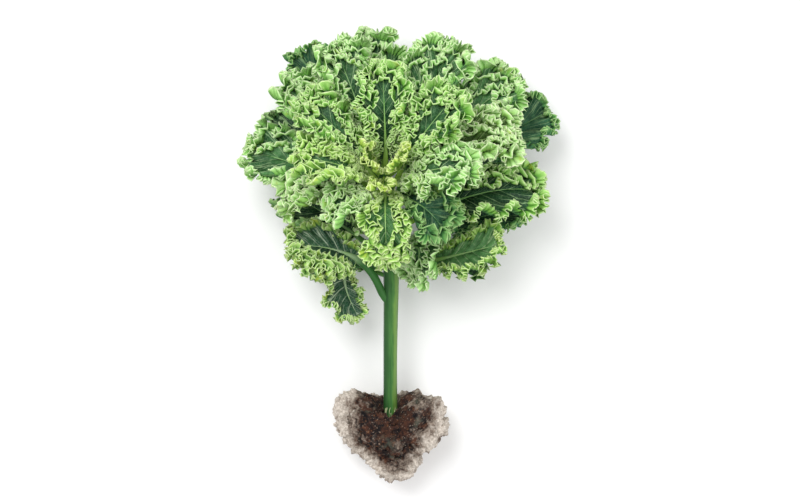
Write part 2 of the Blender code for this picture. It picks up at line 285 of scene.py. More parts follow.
def mapped_grid(
    name: str, points: Array, uv: Array, attributes: dict[str, Array] | None = None
) -> Mesh:
    """A grid whose corners are put at given points, with its seams merged.

    Args:
        name: The mesh's name.
        points: The corners, as points[column, ring], in millimetres.
        uv: The map's coordinates, as uv[column, ring].
        attributes: Named values for each corner, as values[column, ring].

    Returns:
        The mesh, in metres.
    """
    seam = 0.004 * MM
    columns, rings = points.shape[:2]
    grid = bmesh.new()
    bmesh.ops.create_grid(grid, x_segments=columns - 1, y_segments=rings - 1, size=1)
    data = bpy.data.meshes.new(name)
    write_shape(grid, data)
    flat = np.empty(len(data.vertices) * 3)
    data.vertices.foreach_get("co", flat)
    flat = flat.reshape(-1, 3)
    column = np.rint((flat[:, 0] + 1) / 2 * (columns - 1)).astype(int)
    ring = np.rint((flat[:, 1] + 1) / 2 * (rings - 1)).astype(int)
    data.vertices.foreach_set("co", (points[column, ring] * MM).ravel())
    for key, values in (attributes or {}).items():
        layer = data.attributes.new(key, "FLOAT", "POINT")
        layer.data.foreach_set("value", values[column, ring].astype(np.float32))
    corner = np.empty(len(data.loops), int)
    data.loops.foreach_get("vertex_index", corner)
    layer = data.uv_layers.new(name=LEAF_MAP)
    layer.data.foreach_set("uv", uv[column, ring][corner].astype(np.float32).ravel())
    merged = bmesh.new()
    merged.from_mesh(data)
    bmesh.ops.remove_doubles(merged, verts=merged.verts, dist=seam)
    write_shape(merged, data)
    return data


def tube_points(line: Array, sides: Array, normals: Array, radii: Array, around: int) -> Array:
    """The corners of a tube with closed ends.

    Args:
        line: The middle of the tube at each sample.
        sides: The direction of the section's width at each sample.
        normals: The direction of the section's height at each sample.
        radii: The half width and half height, as radii[sample, corner, 2] or [sample, 1, 2].
        around: How many corners go round the tube.

    Returns:
        The corners, as points[sample, corner], with a ring of one point at each end.
    """
    turn = np.linspace(0, 2 * math.pi, around + 1)
    ring = (
        line[:, None, :]
        + sides[:, None, :] * (np.cos(turn)[None, :] * radii[..., 0])[..., None]
        + normals[:, None, :] * (np.sin(turn)[None, :] * radii[..., 1])[..., None]
    )
    first = np.repeat(ring[:1, :-1].mean(1)[:, None], around + 1, axis=1)
    last = np.repeat(ring[-1:, :-1].mean(1)[:, None], around + 1, axis=1)
    return np.concatenate((first, ring, last))


def add_piece(
    name: str, data: Mesh, materials: list[Material], node: str | None = None
) -> None:
    """Puts a finished mesh in the scene as a piece of the plant.

    Args:
        name: The piece's name.
        data: Its mesh, in place.
        materials: Its materials.
        node: The frame's node that it stands for, if it stands for one.
    """
    outward = bmesh.new()
    outward.from_mesh(data)
    bmesh.ops.recalc_face_normals(outward, faces=outward.faces)
    write_shape(outward, data)
    data.shade_smooth()
    chosen = np.empty(len(data.polygons), int)
    data.polygons.foreach_get("material_index", chosen)
    data.materials.clear()
    for made in materials:
        data.materials.append(made)
    data.polygons.foreach_set("material_index", chosen)
    piece = linked(name, data)
    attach(piece, "root")
    if node:
        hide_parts(node)
    LOG.info("%s: %d faces", name, len(data.polygons))


class ShaderGraph:
    """A material's nodes, with short ways to add and link them."""

    specular: float = 0.25

    def __init__(self, name: str, roughness: float) -> None:
        """Starts a material with a principled shader.

        Args:
            name: The material's name.
            roughness: How rough the surface is, from 0 to 1.
        """
        self.material = bpy.data.materials.new(name)
        self.material.use_nodes = True
        self.tree = self.material.node_tree
        self.shader = self.tree.nodes["Principled BSDF"]
        self.put(roughness, self.shader.inputs["Roughness"])
        self.put(self.specular, self.shader.inputs["Specular IOR Level"])
        self.place = self.node("TexCoord", {}, "Object")

    def put(self, source: object, target: Socket) -> None:
        """Links a socket, or sets a plain value or colour.

        Args:
            source: A socket, a number, a colour or a row of numbers.
            target: The input that gets it.
        """
        if isinstance(source, Socket):
            self.tree.links.new(source, target)
        elif target.type == "RGBA":
            target.default_value = (*source, 1)
        else:
            target.default_value = source

    def node(
        self, kind: str, inputs: dict[str | int, object], output: str | int = 0, **settings: str
    ) -> Socket:
        """Adds a node.

        Args:
            kind: Its type, such as Math.
            inputs: What each of its inputs gets.
            output: The output to return.
            settings: Its own settings.

        Returns:
            The output.
        """
        made = self.tree.nodes.new(f"ShaderNode{kind}")
        for name, value in settings.items():
            setattr(made, name, value)
        for key, source in inputs.items():
            self.put(source, made.inputs[key])
        return made.outputs[output]

    def math(self, operation: str, first: object, second: object = 0.0) -> Socket:
        """The result of a sum of the given kind."""
        return self.node("Math", {0: first, 1: second}, operation=operation)

    def plus(self, first: object, second: object) -> Socket:
        """Two values added."""
        return self.math("ADD", first, second)

    def times(self, first: object, second: object) -> Socket:
        """Two values multiplied."""
        return self.math("MULTIPLY", first, second)

    def ease(self, value: Socket, low: float, high: float) -> Socket:
        """0 where the value is at low, 1 where it is at high, and a smooth step between."""
        ends = {"From Min": min(low, high), "From Max": max(low, high),
                "To Min": float(low > high), "To Max": float(low <= high), "Value": value}
        return self.node("MapRange", ends, "Result", interpolation_type="SMOOTHSTEP")

    def mix(self, factor: Socket, first: object, second: object) -> Socket:
        """A mix of two colours."""
        return self.node("Mix", {0: factor, 6: first, 7: second}, 2, data_type="RGBA")

    def tint(self, where: Socket, amount: float, under: object, over: object) -> Socket:
        """A colour with another laid over it, by the given amount where the value is 1."""
        return self.mix(self.times(where, amount), under, over)

    def noise(self, size: float, detail: float = 3.0, roughness: float = 0.55) -> Socket:
        """Noise in space, with features of about the given size in millimetres."""
        grain = {"Scale": 1 / (size * MM), "Detail": detail, "Roughness": roughness}
        return self.node("TexNoise", {**grain, "Vector": self.place}, "Fac")

    def drift(self, size: float, detail: float, amount: float) -> Socket:
        """Noise round 0, of the given amount from its lowest to its highest."""
        return self.times(self.math("SUBTRACT", self.noise(size, detail), 0.5), amount)

    def cell_edge(self, size: float) -> Socket:
        """The distance to the edge in a pattern of cells of the given size in millimetres."""
        pattern = {"Scale": 1 / (size * MM), "Vector": self.place}
        return self.node("TexVoronoi", pattern, "Distance", feature="DISTANCE_TO_EDGE")

    def attribute(self, name: str) -> Socket:
        """A named value of the mesh."""
        return self.node("Attribute", {}, "Fac", attribute_name=name)

    def uv(self) -> list[Socket]:
        """The two coordinates of the mesh's own map."""
        both = self.node("UVMap", {}, "UV", uv_map=LEAF_MAP)
        return [self.node("SeparateXYZ", {0: both}, axis) for axis in ("X", "Y")]

    def colour(self, source: object) -> None:
        """Sets the surface's colour."""
        self.put(source, self.shader.inputs["Base Color"])

    def bump(self, height: Socket, depth: float, strength: float) -> None:
        """Raises the surface's shading by a height of the given depth in millimetres."""
        sizes = {"Distance": depth * MM, "Strength": strength, "Height": height}
        self.put(self.node("Bump", sizes, "Normal"), self.shader.inputs["Normal"])


# The greens of the youngest leaf parts, round the heart; the crest green is partly a painted
# highlight on the wave tops
YOUNG_GREEN: Colour = (0.36, 0.55, 0.08)
YOUNG_CREST: Colour = (0.57, 0.77, 0.24)


@dataclass(frozen=True)
class LeafFinish:
    """The colours of a leaf, from its darkest tone and the painted shade in its hollows to its rim,
    and how much of it is yellow.
    """

    name: str
    # The hollow green is the blade's darkest tone and also the painted shade in the upper face's
    # folds
    hollow: Colour
    blade: Colour
    frill: Colour
    # The crest green is partly the frill's own paler green and partly a painted highlight on its
    # wave tops
    crest: Colour
    rim: Colour
    vein: Colour
    back: Colour
    patch: Colour
    patches: float
    stem: Colour = (0.05, 0.15, 0.025)
    roughness: float = 0.55
    back_roughness: float = 0.62
    rib_roughness: float = 0.42
    worn_stem: float = 1.8

    def side_veins(self, graph: ShaderGraph) -> Socket:
        """Where the side veins and their branches run.

        Args:
            graph: The material's nodes.

        Returns:
            1 on a vein and 0 between the veins.
        """
        u, v = graph.uv()
        bent = graph.plus(u, graph.drift(14, 1, 0.35))
        main = graph.ease(graph.math("PINGPONG", bent, 0.5), 0.095, 0.035)
        fork = graph.plus(graph.times(bent, 3), graph.times(v, 0.9))
        branch = graph.ease(graph.math("PINGPONG", fork, 0.5), 0.14, 0.04)
        outer = graph.times(graph.ease(v, 0.25, 0.5), 0.7)
        return graph.math("MAXIMUM", main, graph.times(branch, outer))

    def frilled(self, graph: ShaderGraph, blade: Socket, hollow: Colour) -> Socket:
        """A blade's colour with the frill's colours over it, with painted shade in its folds and
        painted highlight on its crests.

        Args:
            graph: The material's nodes.
            blade: The colour of the flat blade.
            hollow: The colour of the painted shade at the bottom of the folds.

        Returns:
            The colour: painted shade in the folds, green up the frill, painted highlight on its
                crests, and a pale rim.
        """
        young = graph.attribute("young")
        place = graph.plus(graph.attribute("curl"), graph.drift(6, 3, 0.5))
        low = graph.plus(place, graph.times(graph.attribute("crest"), 0.5))
        # Painted shade: the foot of the frill and the troughs of its waves are darkened towards the
        # hollow colour
        folds = graph.times(graph.ease(low, 0.55, 0.0), graph.ease(place, -0.1, 0.15))
        colour = graph.mix(
            graph.ease(place, 0.0, 0.35), blade, graph.mix(young, self.frill, YOUNG_GREEN)
        )
        colour = graph.tint(folds, 0.92, colour, hollow)
        # Painted highlight: high up the frill and on the wave crests the colour is lightened towards
        # the crest green, which is partly the frill's own paler green
        light = graph.mix(young, self.crest, YOUNG_CREST)
        colour = graph.mix(graph.ease(low, 0.4, 1.0), colour, light)
        chosen = graph.ease(graph.noise(15, 4, 0.7), 0.6 - self.patches, 0.76 - self.patches)
        yellow = graph.times(chosen, graph.ease(place, 0.15, 0.7))
        colour = graph.tint(yellow, 0.7, colour, self.patch)
        worn = graph.ease(graph.noise(2.6, 2), 0.25, 0.6)
        rim = graph.times(graph.ease(graph.attribute("edge"), 1.1, 0.25), worn)
        return graph.tint(rim, 0.85, colour, self.rim)

    def upper(self) -> Material:
        """The upper face: dark blade with pale veins, green frill, painted shade in its folds and
        painted highlight on its crests.

        Returns:
            The material.
        """
        graph = ShaderGraph(f"{self.name}_upper", self.roughness)
        tone = graph.plus(graph.noise(26, 3), graph.attribute("shade"))
        blade = graph.mix(graph.ease(tone, 0.3, 0.75), self.hollow, self.blade)
        veins = self.side_veins(graph)
        blade = graph.tint(graph.ease(graph.cell_edge(3.2), 0.09, 0.02), 0.22, blade, self.vein)
        blade = graph.tint(veins, 0.95, blade, self.vein)
        graph.colour(self.frilled(graph, blade, self.hollow))
        graph.bump(graph.math("SUBTRACT", graph.noise(2.4, 4), graph.times(veins, 0.6)), 0.5, 0.8)
        return graph.material

    def underside(self) -> Material:
        """The underside: duller and greyer, with raised veins.

        Returns:
            The material.
        """
        graph = ShaderGraph(f"{self.name}_underside", self.back_roughness)
        veins = self.side_veins(graph)
        colour = graph.mix(graph.ease(graph.noise(20, 3), 0.3, 0.7), self.blade, self.back)
        colour = graph.tint(veins, 0.7, colour, self.vein)
        # Painted shade in the folds, in the blade green, and painted highlight on the crests, as on
        # the upper face
        graph.colour(self.frilled(graph, colour, self.blade))
        graph.bump(graph.plus(graph.noise(2.2, 3), veins), 0.6, 0.9)
        return graph.material

    def margin(self) -> Material:
        """The thin rim of the blade.

        Returns:
            The material.
        """
        graph = ShaderGraph(f"{self.name}_margin", self.roughness)
        graph.colour(graph.mix(graph.noise(5, 2), self.frill, self.rim))
        return graph.material

    def rib(self) -> Material:
        """The leaf stalk and midrib: green at the foot, pale along the blade.

        Returns:
            The material.
        """
        graph = ShaderGraph(f"{self.name}_rib", self.rib_roughness)
        along, _ = graph.uv()
        mottle = graph.noise(12, 3)
        light_stem = tuple(min(self.worn_stem * part, 1.0) for part in self.stem)
        foot = graph.mix(mottle, self.stem, light_stem)
        pale = graph.mix(mottle, self.frill, self.vein)
        colour = graph.mix(graph.ease(along, 0.42, 0.6), foot, pale)
        graph.colour(graph.mix(graph.attribute("young"), colour, YOUNG_GREEN))
        graph.bump(graph.noise(1.6, 3), 0.3, 0.6)
        return graph.material

    def materials(self) -> list[Material]:
        """The materials in the order in which a leaf's faces name them."""
        return [self.upper(), self.underside(), self.margin(), self.rib()]


LEAF_FINISHES: dict[LeafTone, LeafFinish] = {
    LeafTone.FRESH: LeafFinish(
        "fresh", (0.004, 0.038, 0.014), (0.055, 0.18, 0.06), (0.17, 0.43, 0.06),
        (0.44, 0.74, 0.22), (0.82, 0.92, 0.54), (0.34, 0.52, 0.26), (0.1, 0.26, 0.07),
        (0.44, 0.56, 0.05), 0.05, (0.16, 0.3, 0.04),
    ),
    LeafTone.PALE: LeafFinish(
        "pale", (0.008, 0.06, 0.018), (0.11, 0.29, 0.1), (0.24, 0.52, 0.11),
        (0.52, 0.82, 0.33), (0.86, 0.94, 0.64), (0.42, 0.6, 0.32), (0.14, 0.33, 0.1),
        (0.4, 0.46, 0.05), 0.04, (0.16, 0.3, 0.04),
    ),
    LeafTone.DEEP: LeafFinish(
        "deep", (0.01, 0.055, 0.028), (0.045, 0.165, 0.075), (0.09, 0.29, 0.08),
        (0.22, 0.46, 0.14), (0.5, 0.7, 0.3), (0.26, 0.42, 0.2), (0.07, 0.2, 0.08),
        (0.36, 0.46, 0.05), 0.04,
    ),
    LeafTone.LIME: LeafFinish(
        "lime", (0.035, 0.13, 0.04), (0.14, 0.34, 0.11), (0.24, 0.49, 0.08),
        (0.48, 0.74, 0.2), (0.8, 0.9, 0.5), (0.46, 0.64, 0.34), (0.12, 0.29, 0.08),
        (0.5, 0.62, 0.05), 0.06, (0.16, 0.3, 0.04),
    ),
    LeafTone.VEINED: LeafFinish(
        "veined", (0.016, 0.065, 0.034), (0.06, 0.16, 0.075), (0.19, 0.4, 0.08),
        (0.44, 0.68, 0.2), (0.78, 0.88, 0.5), (0.48, 0.58, 0.42), (0.1, 0.25, 0.09),
        (0.5, 0.6, 0.04), 0.09, (0.02, 0.085, 0.016),
    ),
    LeafTone.OLIVE: LeafFinish(
        "olive", (0.025, 0.07, 0.008), (0.1, 0.19, 0.02), (0.26, 0.5, 0.11),
        (0.56, 0.82, 0.36), (0.9, 0.95, 0.66), (0.4, 0.54, 0.22), (0.03, 0.13, 0.04),
        (0.34, 0.42, 0.03), 0.04, (0.12, 0.24, 0.04),
    ),
    LeafTone.HEART: LeafFinish(
        "heart", (0.03, 0.11, 0.01), (0.14, 0.3, 0.025), (0.34, 0.54, 0.07),
        (0.56, 0.74, 0.18), (0.78, 0.86, 0.42), (0.5, 0.68, 0.16), (0.22, 0.38, 0.06),
        (0.52, 0.64, 0.06), 0.1, (0.3, 0.48, 0.06),
    ),
    LeafTone.UNDER: LeafFinish(
        "under", (0.01, 0.045, 0.02), (0.03, 0.13, 0.04), (0.12, 0.3, 0.08),
        (0.28, 0.5, 0.16), (0.56, 0.72, 0.36), (0.36, 0.54, 0.26), (0.09, 0.22, 0.09),
        (0.36, 0.44, 0.05), 0.03,
    ),
}


@dataclass
class Stalk:
    """The main stalk, with torn fibres of skin where it goes into the soil."""

    # X, Y, Z and the radius, from the foot to the growing point
    centre_line: tuple[tuple[float, ...], ...] = (
        (-1, -184, 47, 6.0),
        (-1, -150, 49, 6.8),
        (-1, -85, 52, 6.8),
        (0, -20, 55, 7.6),
        (0, 30, 64, 8.4),
        (-4, 66, 82, 7.6),
        (-6, 86, 104, 6.4),
        (-7, 93, 118, 4.0),
    )
    samples: int = 140
    around: int = 48
    ridge: float = 0.22
    swell: float = 0.25
    fibre_count: int = 22
    fibre_length: float = 12.0
    fibre_place: float = -146.0
    fibre_samples: int = 9
    fibre_seed: int = 300
    fibre_sunk: float = 0.94
    fibre_around: int = 6

    def line(self) -> Array:
        """The centre line with its radius, finely sampled."""
        return smooth_path(self.centre_line, self.samples)

    def tube(self, radius: Array) -> Array:
        """A tube along the stalk.

        Args:
            radius: The radius, as radius[sample, corner] or radius[sample, 1].

        Returns:
            The corners, as points[sample, corner].
        """
        middle = self.line()[:, :3]
        tangents = unit(np.gradient(middle, axis=0))
        sides = unit(np.cross(tangents, (0.0, 0.0, 1.0)))
        radii = np.stack((radius, radius), -1)
        return tube_points(middle, sides, np.cross(sides, tangents), radii, self.around)

    def skin(self) -> Array:
        """The corners of the stalk's surface, with faint ridges along it.

        Returns:
            The corners, as points[sample, corner].
        """
        turn = np.linspace(0, 2 * math.pi, self.around + 1)
        drift = smooth_noise(self.samples, 30, 4)[:, None]
        ridges = np.cos(5 * turn[None, :] + drift) + 0.5 * np.cos(11 * turn[None, :] - 2 * drift)
        swell = self.swell * smooth_noise(self.samples, 14, 9)[:, None]
        return self.tube(self.line()[:, 3:4] + self.ridge * ridges + swell)

    def frame_shift(self) -> Array:
        """How far the frame's stalk lies from the plant's own place.

        Returns:
            The shift, in millimetres.
        """
        plain = self.tube(self.line()[:, 3:4]).reshape(-1, 3)
        low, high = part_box("stalk")
        middle = (np.array(low) + np.array(high)) / 2 / MM
        return middle - (plain.min(0) + plain.max(0)) / 2

    def fibre(self, index: int) -> Array:
        """One torn strand beside the foot of the stalk.

        Args:
            index: The strand's number.

        Returns:
            Its corners, as points[sample, corner].
        """
        draw = np.random.default_rng(self.fibre_seed + index)
        line = self.line()
        foot = line[np.argmin(abs(line[:, 1] - self.fibre_place - draw.uniform(-4, 4)))]
        turn = 2 * math.pi * index / self.fibre_count + draw.uniform(-0.2, 0.2)
        out = np.array((math.cos(turn), 0.0, math.sin(turn)))
        along = np.linspace(0, 1, self.fibre_samples)[:, None]
        reach = self.fibre_length * draw.uniform(0.5, 1.3)
        path = foot[:3] + out * (foot[3] * self.fibre_sunk + along**2 * draw.uniform(0.5, 5.0))
        path = path + np.array((0.0, -1.0, 0.0)) * reach * along
        path = path + draw.uniform(-2.0, 2.0, 3) * along * (1.3 - along) * 2
        radii = np.repeat(draw.uniform(0.3, 0.6) * (1 - 0.8 * along), 2, axis=1)
        side = np.repeat(unit(np.cross(out, (0, 1, 0)))[None], self.fibre_samples, axis=0)
        normal = np.repeat(out[None], self.fibre_samples, axis=0)
        return tube_points(path, side, normal, radii[:, None], self.fibre_around)

    def finish(self) -> Material:
        """Smooth waxy green with long pale streaks, with painted shade down one side and painted
        light down the other.

        Returns:
            The material.
        """
        graph = ShaderGraph("stalk_skin", 0.4)
        _, round_place = graph.uv()
        stretched = {"Vector": graph.place, "Scale": (420, 16, 420)}
        grain = {"Vector": graph.node("Mapping", stretched), "Scale": 1.0, "Detail": 3.0}
        streaks = graph.node("TexNoise", grain, "Fac")
        colour = graph.mix(graph.ease(streaks, 0.3, 0.72), (0.024, 0.11, 0.02), (0.06, 0.19, 0.034))
        aside = graph.plus(round_place, graph.drift(26, 3, 0.12))
        # Painted shade on one side of the stalk and painted light on the other, each a band round it
        for middle, far, near, amount, painted_flank_shading in (
            (0.42, 0.2, 0.08, 0.8, (0.014, 0.062, 0.016)),
            (0.1, 0.11, 0.03, 0.75, (0.17, 0.31, 0.06)),
        ):
            away = graph.math("ABSOLUTE", graph.math("SUBTRACT", aside, middle))
            colour = graph.tint(graph.ease(away, far, near), amount, colour, painted_flank_shading)
        graph.colour(colour)
        graph.bump(streaks, 0.35, 0.7)
        return graph.material

    def fibre_finish(self) -> Material:
        """Torn pale skin.

        Returns:
            The material.
        """
        graph = ShaderGraph("stalk_fibre", 0.8)
        graph.colour(graph.mix(graph.noise(4, 3), (0.2, 0.3, 0.09), (0.66, 0.66, 0.42)))
        return graph.material

    def build(self, shift: Array) -> None:
        """Builds the stalk and its torn fibres.

        Args:
            shift: How far the frame lies from the plant's own place, in millimetres.
        """
        points = self.skin() + shift
        skin = mapped_grid("stalk_skin", points, plain_map(*points.shape[:2]))
        strands = []
        for index in range(self.fibre_count):
            points = self.fibre(index) + shift
            strands.append(mapped_grid("strand", points, plain_map(*points.shape[:2])))
        add_piece("stalk_skin", skin, [self.finish()], "stalk")
        fibres = joined("stalk_fibres", strands)
        add_piece("stalk_fibres", fibres, [self.fibre_finish()])


class Midrib:
    """A leaf's midrib in space, with the way that its upper face looks at each point."""

    samples: int = 28
    stalk_gap: float = 0.5
    half_width: float = 3.0
    look: Point = (0.0, 0.5, 0.866)
    look_distance: float = 300.0

    def __init__(self, leaf: Leaf, stalk: Array) -> None:
        """Lays the midrib as a curve from the stalk through the bend to the tip.

        Args:
            leaf: The leaf.
            stalk: The stalk's finely sampled line and radii.
        """
        nearest = np.argmin(abs(stalk[:, 1] - leaf.root))
        centre = stalk[nearest]
        along_stalk = unit(centre[:3] - stalk[nearest - 1][:3])
        bend, tip = np.array(leaf.bend, float), np.array(leaf.tip, float)
        away = unit(bend - centre[:3] - ((bend - centre[:3]) @ along_stalk) * along_stalk)
        heading = unit(bend - centre[:3])
        slope = math.sqrt(1 - (heading @ away) ** 2)
        half_width = self.half_width * leaf.stoutness
        root = centre[:3] + away * (centre[3] + self.stalk_gap + half_width * slope)
        t = np.linspace(0, 1, self.samples)[:, None]
        self.points = (1 - t) ** 2 * root + 2 * t * (1 - t) * bend + t**2 * tip
        steps = np.linalg.norm(np.diff(self.points, axis=0), axis=1)
        self.places = np.concatenate(((0,), np.cumsum(steps)))
        self.length = float(self.places[-1])
        tangents = unit(np.gradient(self.points, axis=0))
        focus = stalk[-1, :3] + np.array(self.look) * self.look_distance
        facing = unit(focus - self.points)
        facing = facing - (facing * tangents).sum(1, keepdims=True) * tangents
        self.normals = unit(facing)
        self.sides = np.cross(tangents, self.normals)
        self.inwards = centre[:3] - root

    def at(self, along: Array) -> list[Array]:
        """Point, side and normal at each distance along the midrib."""
        axes = (self.points, self.sides, self.normals)
        return [np.stack([np.interp(along, self.places, c) for c in a.T], -1) for a in axes]


@dataclass(frozen=True)
class Frill:
    """One size of wave in a leaf's margin, in millimetres."""

    length: float
    height: float
    lean: float
    scallop: float
    growth: float
    weight: float


@dataclass
class Veins:
    """Side veins of a leaf, from its foot on the left round its tip and back.

    turn is each vein's share of the way to the tip, side is -1 on the left and 1 on the right,
    and share is how much of its full length the vein has.
    """

    turn: Array
    side: Array
    share: Array

    def wrapped(self, count: float) -> Array:
        """A number for each vein that rises by the count on each side of the leaf."""
        return np.where(self.side < 0, self.turn, 2 - self.turn) * count


@dataclass
class Sheet:
    """A thin surface: points[column, ring], each point's values, and the map."""

    points: Array
    edge: Array
    curl: Array
    crest: Array
    uv: Array


@dataclass
class LeafBuilder:
    """Builds one leaf: its waved blade, with a thick midrib and leaf stalk.

    others holds the sampled midribs of all other leaves, stalk the stalk's line and radii, and
    shift says how far the frame lies from the plant's own place.
    """

    leaf: Leaf
    midrib: Midrib
    others: Array
    stalk: Array
    shift: Array
    seed: int
    detail: float
    phase_step: float = 2.4
    # Room beside other leaves and the stalk
    gap: float = 2.9
    stalk_clearance: float = 2.0
    shortest: float = 0.22
    share_steps: int = 27
    # The blade and its main waves
    wave_length: float = 6.5
    columns_per_wave: int = 3
    fewest_waves: int = 3
    midrib_end: float = 0.8
    vein_slant: float = 1.6
    roundness: float = 0.6
    lobe: float = 0.10
    fold: float = 0.30
    main_frill: float = 8.0
    usual_half_width: float = 40.0
    frill_growth: float = 1.5
    wave_foot: float = 12.0
    least_wave: float = 0.3
    thickness: float = 0.7
    column_step: float = 0.55
    fewest_columns: int = 24
    blade_rings: int = 3
    curl_rings: int = 6
    most_curl: float = 0.55
    least_blade: float = 0.3
    frill_start: float = 0.18
    least_frill: float = 0.08
    full_frill: float = 18.0
    seed_step: int = 97
    size_seed: int = 50
    size_drift: float = 0.35
    place_drift: float = 1.6
    lowest: float = 0.9
    vein_spacing: float = 9.0
    puff: float = 1.3
    heart: Point = (-7.0, 94.0, 140.0)
    heart_reach: Point = (62.0, 62.0, 90.0)
    youngest: float = 0.8
    shade: float = 0.12
    frills: tuple[Frill, ...] = (
        Frill(18.0, 4.6, 1.2, 0.0, 1.0, 0.2),
        Frill(6.4, 3.5, 1.6, 1.3, 0.6, 0.5),
        Frill(3.3, 1.4, 0.65, 0.7, 0.9, 0.3),
    )
    # The rows of curls on the blade
    row_skip: int = 2
    row_rings: int = 3
    row_veins: float = 9.0
    row_height: float = 9.0
    row_most: float = 0.4
    row_start: float = 0.12
    row_run: float = 0.25
    row_reach: float = 0.03
    row_lean: float = 0.3
    row_sunk: float = 0.12
    row_frills: tuple[Frill, ...] = (
        Frill(8.6, 3.3, 1.6, 0.0, 0.8, 0.4),
        Frill(4.6, 1.5, 0.7, 0.8, 1.0, 0.35),
    )
    # The leaf stalk and midrib
    rib_end: float = 0.95
    rib_sunk: float = 0.8
    rib_foot: float = 12.0
    rib_flatness: float = 0.85
    rib_raised: float = 0.2
    rib_samples: int = 48
    rib_around: int = 12
    rib_material: int = 3

    @property
    def waves(self) -> int:
        """How many main waves each side of the blade has."""
        return max(self.fewest_waves, round(self.leaf.half_width / self.wave_length))

    @property
    def start(self) -> float:
        """Where the blade begins, along the midrib."""
        return self.leaf.petiole * self.midrib.length

    def reach(self, turn: Array) -> tuple[Array, Array, Array]:
        """The side veins at given shares of the way from the blade's foot to its tip.

        Args:
            turn: Shares from 0 at the foot to 1 at the tip.

        Returns:
            Where each vein leaves the midrib, where it meets the margin, and its reach.
        """
        blade = self.midrib.length - self.start
        leaves_rib = self.start + blade * self.midrib_end * turn**self.vein_slant
        meets_margin = self.start + blade * (1 - np.cos(math.pi * turn)) / 2
        reach = self.leaf.half_width * np.sin(math.pi * turn).clip(0) ** self.roundness
        reach = reach * (1 + self.lobe * np.cos(2 * math.pi * turn * self.waves))
        least = np.where(turn < 0.999, Midrib.half_width * self.leaf.stoutness, 0.0)
        return leaves_rib, meets_margin, np.maximum(reach, least)

    def sheet(self, veins: Veins, rings: Array) -> tuple[Array, Array]:
        """The blade with its main waves.

        Args:
            veins: The side veins.
            rings: Shares of the way from the midrib to the margin, alike or for each vein.

        Returns:
            The points, as points[vein, ring], and each vein's angle in the main waves.
        """
        root, margin, reach = self.reach(veins.turn)
        centre, sideways, normal = self.midrib.at(root[:, None] + (margin - root)[:, None] * rings)
        width = (veins.side * reach * veins.share)[:, None] * rings
        in_blade = np.clip(abs(margin - self.start) / self.wave_foot, self.least_wave, 1)
        angle = 2 * math.pi * veins.wrapped(self.waves) + self.phase_step * self.seed
        swing = in_blade * veins.share * np.sin(angle)
        frill = self.main_frill * self.leaf.half_width / self.usual_half_width
        rise = frill * rings**self.frill_growth * swing[:, None] + abs(width) * self.fold * rings
        points = centre + sideways * (width * math.cos(self.fold))[..., None]
        points = points + normal * rise[..., None]
        points[..., 2] = np.maximum(points[..., 2], self.lowest)
        return points, angle

    def room(self) -> tuple[Array, Array]:
        """How long each side vein can be, so that the leaf stays clear of its neighbours.

        Returns:
            The shares on the left and on the right, at even turns from foot to tip.
        """
        count = self.waves * self.columns_per_wave
        half = np.arange(count + 1) / count
        turn = np.concatenate((half, half[-2::-1]))
        side = np.concatenate((np.full(count + 1, -1.0), np.full(count, 1.0)))
        best = np.full(len(turn), self.shortest)
        for share in np.linspace(self.shortest, 1, self.share_steps):
            veins = Veins(turn, side, np.full(len(turn), share))
            points, _ = self.sheet(veins, np.array((0.5, 1.0)))
            own = distance_to(points, self.midrib.points)
            clear = own < distance_to(points, self.others) - self.gap
            far = self.stalk[:, 3].max() + self.stalk_clearance
            clear &= distance_to(points, self.stalk[:, :3]) > far
            fits = clear.all(axis=1)
            best = np.where(fits & (best >= share - 1.5 / self.share_steps), share, best)
        eased = np.convolve(np.pad(best, 1, mode="edge"), (0.25, 0.5, 0.25), mode="valid")
        best = np.minimum(best, eased)
        return best[: count + 1], best[count:][::-1]

    def even_turns(self, shares: Array) -> Array:
        """Turns at even steps along one margin.

        Args:
            shares: How long the veins on this side can be, from foot to tip.

        Returns:
            The turns, from the foot to the tip.
        """
        turn = np.linspace(0, 1, 400)
        _, margin, reach = self.reach(turn)
        share = np.interp(turn, np.linspace(0, 1, len(shares)), shares)
        steps = np.hypot(np.diff(margin), np.diff(reach * share))
        run = np.concatenate(((0,), np.cumsum(steps)))
        count = max(self.fewest_columns, int(run[-1] / (self.column_step / self.detail)))
        return np.interp(np.linspace(0, run[-1], count), run, turn)

    def fine_veins(self) -> Veins:
        """The side veins of the fine sheet, as long as their room allows.

        Returns:
            The veins.
        """
        left_share, right_share = self.room()
        left, right = self.even_turns(left_share), self.even_turns(right_share)
        turn = np.concatenate((left, right[-2::-1]))
        side = np.concatenate((np.full(len(left), -1.0), np.full(len(right) - 1, 1.0)))
        places = np.linspace(0, 1, len(left_share))
        on_left, on_right = (np.interp(turn, places, s) for s in (left_share, right_share))
        return Veins(turn, side, np.where(side < 0, on_left, on_right))

